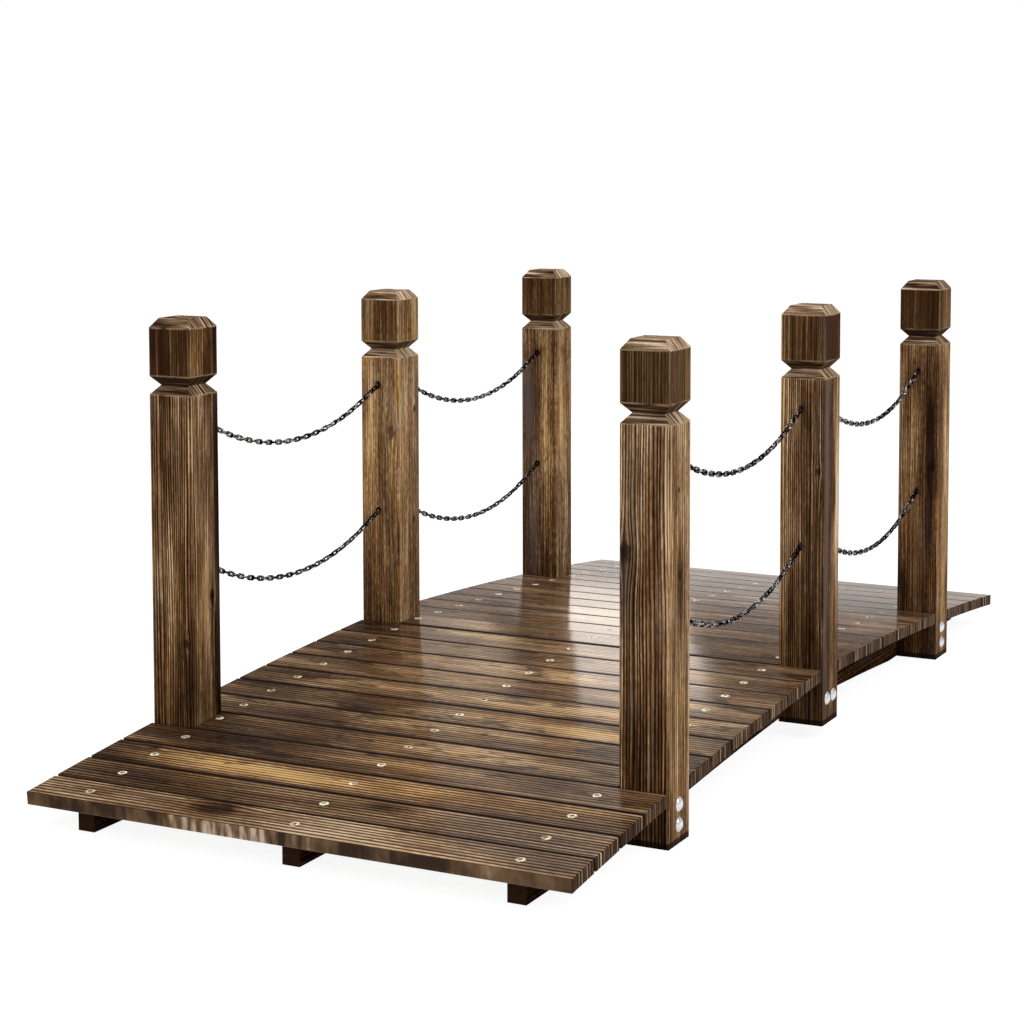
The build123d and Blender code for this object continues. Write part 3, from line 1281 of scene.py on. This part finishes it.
@dataclass
class Deck:
    """The boards of the deck, each of its own piece of wood."""

    count: int = 25
    runs: tuple[Brushing, ...] = (
        Brushing(3, 0.7, 0.21, 0.52, 0.7, 1.0, 0.05),
        Brushing(8, 0.55, 0.15, 0.46, 0.7, 0.85, 0.3),
        Brushing(25, 0.3, 0.09, 0.34, 0.35, 0.85, 0.3),
    )
    plain_until: int = 2            # boards with fainter streaks and patches
    golden_board: int = 3
    glossy_until: int = 16          # boards with the most oil left on them
    lightness: tuple[float, ...] = (
        0.53, 0.51, 0.39, 0.50, 0.45, 0.49, 0.43, 0.48, 0.46, 0.50, 0.46, 0.49, 0.45,
        0.48, 0.51, 0.48, 0.51, 0.48, 0.53, 0.48, 0.51, 0.48, 0.53, 0.50, 0.48,
    )
    knots: dict[int, tuple[Knot, ...]] = field(default_factory=lambda: {
        1: (Knot(97, 8, 8),),
        3: (Knot(272, 16, 5),),
        6: (Knot(-60, 8, 4),),
    })
    blotches: dict[int, tuple[Blotch, ...]] = field(default_factory=lambda: {
        1: (
            Blotch(-40, -4, 100, 30, 0.34, bare=True), Blotch(104, 8, 26, 12, -0.60),
            Blotch(-290, 0, 60, 40, -0.22),
        ),
        2: (
            Blotch(-70, 12, 26, 12, -0.45), Blotch(-60, -6, 110, 34, 0.08, bare=True),
            Blotch(230, 0, 130, 40, -0.28), Blotch(-230, 0, 90, 40, -0.18),
        ),
        3: (
            Blotch(170, 0, 90, 22, 0.35), Blotch(40, -6, 90, 14, 0.30),
            Blotch(-110, 4, 110, 24, 0.30), Blotch(310, 0, 50, 40, -0.25),
        ),
        4: (
            Blotch(210, 0, 130, 40, -0.36), Blotch(-30, 4, 80, 10, 0.24),
            Blotch(-205, 0, 40, 34, -0.20),
        ),
        5: (
            Blotch(-90, 5, 90, 14, 0.32), Blotch(120, 0, 70, 24, -0.12),
            Blotch(280, 0, 80, 34, -0.24),
        ),
        6: (
            Blotch(170, 0, 80, 24, -0.20), Blotch(-40, 4, 90, 16, 0.16),
            Blotch(-270, 0, 60, 34, -0.25),
        ),
        7: (
            Blotch(-184, -8, 80, 14, 0.38), Blotch(120, 0, 60, 30, -0.26),
            Blotch(-30, 4, 70, 14, 0.28), Blotch(270, 0, 60, 34, -0.18),
        ),
        8: (
            Blotch(150, 2, 90, 10, 0.26), Blotch(-40, -6, 80, 14, 0.26),
            Blotch(-200, 0, 80, 18, 0.24), Blotch(290, 0, 50, 34, -0.22),
        ),
        9: (
            Blotch(70, 0, 80, 18, 0.22), Blotch(200, 0, 60, 24, -0.10),
            Blotch(-190, 6, 60, 12, 0.26),
        ),
        10: (
            Blotch(80, 0, 80, 20, 0.12), Blotch(215, 0, 40, 30, -0.20),
            Blotch(-60, 0, 60, 18, 0.16),
        ),
        11: (
            Blotch(130, 0, 60, 24, 0.16), Blotch(30, 0, 40, 20, -0.14),
            Blotch(280, 0, 50, 30, -0.16), Blotch(-180, 0, 60, 18, 0.16),
        ),
        12: (Blotch(130, 0, 60, 24, 0.14), Blotch(290, 0, 50, 34, -0.30)),
        13: (Blotch(180, 0, 70, 24, 0.14), Blotch(290, 0, 40, 34, -0.25)),
    })

    def gloss(self, number: int) -> float:
        """How much oil is left on a board.

        Args:
            number: The board, counted from the front.

        Returns:
            Its gloss.
        """
        if number == self.golden_board:
            return 0.5
        return 0.9 if number <= self.glossy_until else 0.72

    def wood(self, number: int) -> CharredWood:
        """Chooses the wood of one board.

        Args:
            number: The board, counted from the front.

        Returns:
            Its finish.
        """
        run = next(run for run in self.runs if number <= run.last)
        plain = number <= self.plain_until
        return CharredWood(
            name=f"board_wood_{number:02d}",
            grain=Grain.ACROSS_DECK,
            seed=1.0 + number * 0.731,
            lightness=self.lightness[number - 1],
            contrast=0.8 if plain else 1.0,
            fineness=0.45,
            fibre_width=2.6,
            ridge_pitch=6.4,
            ridge_depth=run.ridge_depth,
            ridge_tone=run.ridge_tone,
            ridge_length=160.0,
            waver=0.2,
            ridging=run.ridging,
            groove_dark=run.groove_dark,
            gold=0.9 if number == self.golden_board else 0.25,
            gloss=self.gloss(number),
            groove_matt=run.groove_matt,
            streaks=0.3 if plain else 0.45,
            dashes=0.35,
            smoke=run.smoke,
            cut_lightness=-0.19,
            sawn=0.44 if number in (1, self.count) else -0.7,
            knots=self.knots.get(number, ()),
            blotches=self.blotches.get(number, ()),
        )

    def build(self) -> None:
        """Dresses every board."""
        for number in range(1, self.count + 1):
            name = f"deck_board_{number:02d}"
            finish = self.wood(number).material(*middle_and_size(name))
            dress(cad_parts[name], finish)
            log.info("%s dressed", name)


# --- Beams -----------------------------------------------------------------------------


@dataclass
class Beams:
    """The three arched beams, each in two halves."""

    names: tuple[str, ...] = (
        "centre_beam_front", "centre_beam_back", "outer_beam_front_left",
        "outer_beam_front_right", "outer_beam_back_left", "outer_beam_back_right",
    )

    def build(self) -> None:
        """Dresses every half beam."""
        for number, name in enumerate(self.names):
            wood = CharredWood(
                name=f"{name}_wood",
                grain=Grain.ALONG_WALK,
                seed=41.0 + number * 0.83,
                lightness=0.12,
                contrast=0.7,
                gold=0.0,
                gloss=0.0,
                specular=0.0,
                cut_lightness=-0.25,
            )
            dress(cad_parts[name], wood.material(*middle_and_size(name)))
            log.info("%s dressed", name)


# --- Posts -----------------------------------------------------------------------------


@dataclass(frozen=True)
class PostWood:
    """What one post's wood has of its own, in CharredWood's terms."""

    name: str
    lightness: float
    ridging: float
    singed: tuple[float, float]
    side_tone: float
    gold: float = 0.35
    dashes: float = 0.45
    ridge_pitch: float = 3.0
    knots: tuple[Knot, ...] = ()
    blotches: tuple[Blotch, ...] = ()


@dataclass
class Posts:
    """The six posts with their shaped heads."""

    row: int = 3                    # posts on one side
    head: float = 88.0
    edges: tuple[float, ...] = (11.4, 67.4, 89.4)
    foot: float = 7.0
    woods: tuple[PostWood, ...] = (
        PostWood(
            "post_front_left", 0.37, 1.0, (0.76, 0.20), 0.08, ridge_pitch=3.3,
            knots=(Knot(-110, -20, 4), Knot(-60, 12, 5, on_side=True)),
            blotches=(
                Blotch(0, 27, 400, 9, -0.90, on_side=True), Blotch(-170, 8, 70, 14, 0.16),
                Blotch(-60, -14, 120, 5, -0.08), Blotch(110, 12, 70, 12, -0.12),
                Blotch(-40, -10, 60, 9, 0.16), Blotch(-60, -8, 70, 12, 0.20, on_side=True),
            ),
        ),
        PostWood(
            "post_middle_left", 0.58, 0.3, (0.58, 0.26), 0.09, gold=0.85, dashes=0.65,
            knots=(
                Knot(70, -18, 5, heart=paint(112, 68, 54)),
                Knot(98, 15, 3.5, on_side=True), Knot(-53, 13, 3.5, on_side=True),
            ),
            blotches=(
                Blotch(60, 13, 120, 13, 0.26), Blotch(20, -16, 60, 8, 0.12),
                Blotch(-120, 4, 70, 12, 0.14),
                Blotch(0, 24, 200, 8, -0.03, on_side=True, smoky=0.2),
                Blotch(20, -8, 90, 12, 0.14, on_side=True),
            ),
        ),
        PostWood(
            "post_back_left", 0.52, 0.35, (0.70, 0.50), 0.09, dashes=0.7,
            blotches=(
                Blotch(82, 17, 40, 9, -0.10, smoky=0.7), Blotch(35, 15, 60, 10, -0.08, smoky=0.6),
                Blotch(20, -14, 130, 9, 0.30), Blotch(-130, 12, 90, 12, -0.10, smoky=0.5),
                Blotch(45, -8, 80, 20, 0.26, on_side=True),
            ),
        ),
        PostWood(
            "post_front_right", 0.57, 0.9, (0.84, 0.82), 0.02, ridge_pitch=3.7,
            knots=(
                Knot(44, 22, 7), Knot(110, -3, 2.5, on_side=True), Knot(19, 0, 4, on_side=True),
            ),
            blotches=(
                Blotch(10, 22, 60, 9, -0.24, smoky=0.35), Blotch(120, 14, 60, 6, -0.10, smoky=0.4),
                Blotch(0, -28, 400, 3, 0.20), Blotch(225, 20, 28, 7, 0.50, on_side=True),
                Blotch(8, 0, 50, 6, -0.30, on_side=True, smoky=0.15),
                Blotch(-150, 0, 70, 20, 0.10, on_side=True),
                Blotch(50, -10, 50, 10, 0.12, on_side=True),
            ),
        ),
        PostWood(
            "post_middle_right", 0.52, 0.8, (0.60, 0.80), -0.10, gold=0.45,
            knots=(Knot(57, -20, 3),),
            blotches=(
                Blotch(60, 28, 400, 6, 0.24),
                Blotch(60, -20, 300, 9, 0.0, on_side=True, smoky=0.9),
                Blotch(20, 20, 90, 9, 0.66, on_side=True, bare=True),
                Blotch(-100, 10, 60, 14, -0.14), Blotch(20, 10, 30, 6, -0.30, on_side=True),
            ),
        ),
        PostWood(
            "post_back_right", 0.41, 0.5, (0.84, 0.58), 0.10, gold=0.45, dashes=0.6,
            knots=(Knot(8, -20, 4.5),),
            blotches=(
                Blotch(55, -18, 30, 4, -0.50), Blotch(-10, -18, 80, 2.6, -1.10),
                Blotch(40, 8, 160, 14, 0.10), Blotch(0, 8, 200, 14, 0.16, on_side=True),
            ),
        ),
    )

    def wood(self, number: int, own: PostWood) -> CharredWood:
        """Chooses the wood of one post.

        Args:
            number: The post, counted from the left front one and along each row.
            own: What its wood has of its own.

        Returns:
            Its finish.
        """
        return CharredWood(
            name=f"{own.name}_wood",
            grain=Grain.UPRIGHT,
            seed=71.0 + (number // self.row) * 5.1 + (number % self.row) * 1.37,
            lightness=own.lightness,
            contrast=1.15,
            ridge_pitch=own.ridge_pitch,
            ridge_tone=own.ridging * 0.18,
            ridge_length=140.0,
            ridging=own.ridging,
            groove_start=0.15,
            groove_dark=0.74,
            gold=own.gold,
            gloss=0.06,
            specular=0.0,
            streaks=0.65,
            dashes=own.dashes,
            side_tone=own.side_tone,
            cut_lightness=-0.10,
            edges=self.edges,
            shade=0.26,
            foot=self.foot,
            head=self.head,
            singed=own.singed,
            knots=own.knots,
            blotches=own.blotches,
        )

    def build(self) -> None:
        """Dresses every post."""
        for number, own in enumerate(self.woods):
            finish = self.wood(number, own).material(*middle_and_size(own.name))
            dress(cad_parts[own.name], finish)
            log.info("%s dressed", own.name)


# --- Fasteners -------------------------------------------------------------------------


def dress_fasteners() -> None:
    """Plates the bolts and screws, and blackens the screw eyes."""
    for name, metal, slot in (
        ("carriage_bolts", BRIGHT_ZINC, "zinc_bolt"),
        ("deck_screws", YELLOW_ZINC, "yellow_zinc_screw"),
        ("screw_eyes", BLACK_EYE_STEEL, "black_eye"),
    ):
        dress(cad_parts[name], metal.material())
        log.info("%s dressed", name)


def main() -> None:
    """Builds the scene, one sub-assembly after another."""
    logging.basicConfig(level=logging.INFO, format="%(name)s: %(message)s")
    Studio().build()
    Chains().build()
    Deck().build()
    Beams().build()
    Posts().build()
    dress_fasteners()


if __name__ == "__main__":
    main()
